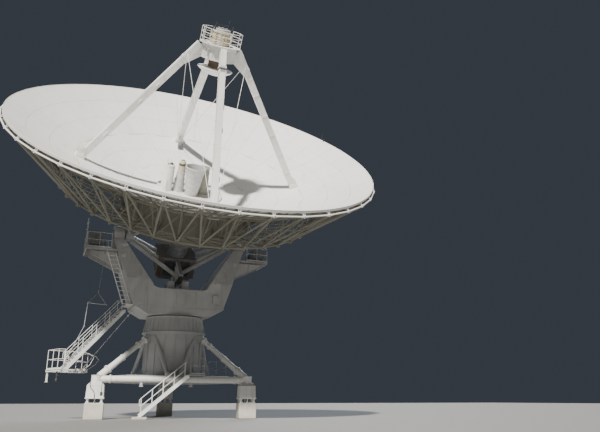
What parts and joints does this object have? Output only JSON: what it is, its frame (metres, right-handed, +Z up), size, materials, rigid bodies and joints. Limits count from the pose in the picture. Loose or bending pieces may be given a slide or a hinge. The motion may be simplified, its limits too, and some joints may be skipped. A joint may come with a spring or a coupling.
{
  "type": "radio telescope dish on a three-legged steel base",
  "caption": "Steerable radio telescope: a white parabolic dish with quadrupod on a forked yoke over a three-legged steel base with access stairs.",
  "frame": {"origin": "on the ground at the middle of the plan of the whole part, dish at its rest pose of the picture", "axes": "+Z up, +X to the right of the dish seen from in front, -Y the way the dish leans and looks"},
  "size_m": [25.384, 20.9778, 26.7353],
  "materials": {
    "white_paint": "weathered white paint on steel, with grime runs and small rust marks",
    "panel_white": "matt white paint on thin reflector panels, with seams between them",
    "grey_paint": "pale grey satin paint, dusty",
    "galvanised": "galvanised steel, dull grey",
    "dark_steel": "dark greased or dark painted steel",
    "cream_paint": "cream paint, sun-faded",
    "brown_primer": "brown primer, matt",
    "concrete": "bare cast concrete, weathered"
  },
  "bodies": {
    "base": {"pier_left": "concrete", "foot_left": "white_paint", "strut_left": "white_paint", "pier_right": "concrete", "foot_right": "white_paint", "strut_right": "white_paint", "pier_rear": "concrete", "foot_rear": "white_paint", "strut_rear": "white_paint", "beam_front": "white_paint", "beam_right": "white_paint", "beam_left": "white_paint", "tower_drum": "white_paint", "tower_skirt": "white_paint", "azimuth_bearing": "dark_steel", "base_deck": "galvanised", "lower_stair": "white_paint", "stair_pad": "concrete"},
    "yoke": {"yoke_cross_beam": "white_paint", "yoke_arm_left": "white_paint", "elevation_bearing_left": "grey_paint", "platform_left": "white_paint", "cabinets_left": "dark_steel", "yoke_arm_right": "white_paint", "elevation_bearing_right": "grey_paint", "platform_right": "white_paint", "cabinets_right": "dark_steel", "elevation_drive": "grey_paint", "arm_ladder": "white_paint", "hanging_stair": "white_paint", "hanging_landing": "white_paint", "tie_rod": "white_paint", "hoist_bridle": "galvanised"},
    "dish": {"reflector": "panel_white", "truss_quarter_1": "grey_paint", "truss_quarter_2": "grey_paint", "truss_quarter_3": "grey_paint", "truss_quarter_4": "grey_paint", "vertex_room": "white_paint", "counterweight": "grey_paint", "elevation_gear": "dark_steel", "trunnion_left": "white_paint", "trunnion_right": "white_paint", "feed_ring": "panel_white", "large_horn": "grey_paint", "rear_horn": "grey_paint", "receiver": "cream_paint", "feed_box": "white_paint", "quadrupod_leg_right": "white_paint", "quadrupod_leg_upper": "white_paint", "quadrupod_leg_left": "white_paint", "quadrupod_leg_lower": "white_paint", "apex_barrel": "white_paint", "apex_railing": "white_paint", "apex_equipment": "grey_paint"},
    "focus_carriage": {"focus_drum": "brown_primer"},
    "subreflector": {"subreflector": "panel_white"}
  },
  "joints": [
    {"name": "azimuth_turn", "type": "hinge", "parent": "base", "child": "yoke", "pos_m": [0, 4.33309, 0], "axis": [0, 0, 1], "range_deg": [-270, 270]},
    {"name": "elevation_tilt", "type": "hinge", "parent": "yoke", "child": "dish", "pos_m": [0, 4.33309, 12.5], "axis": [-1, 0, 0], "range_deg": [-42.46, 74.54]},
    {"name": "focus_slide", "type": "slide", "parent": "dish", "child": "focus_carriage", "axis": [0, -0.6366, 0.7712], "range_m": [-0.2, 0]},
    {"name": "subreflector_turn", "type": "hinge", "parent": "focus_carriage", "child": "subreflector", "pos_m": [0, 1.91395, 15.43048], "axis": [0, -0.6366, 0.7712], "range_deg": [-180, 180]}
  ]
}
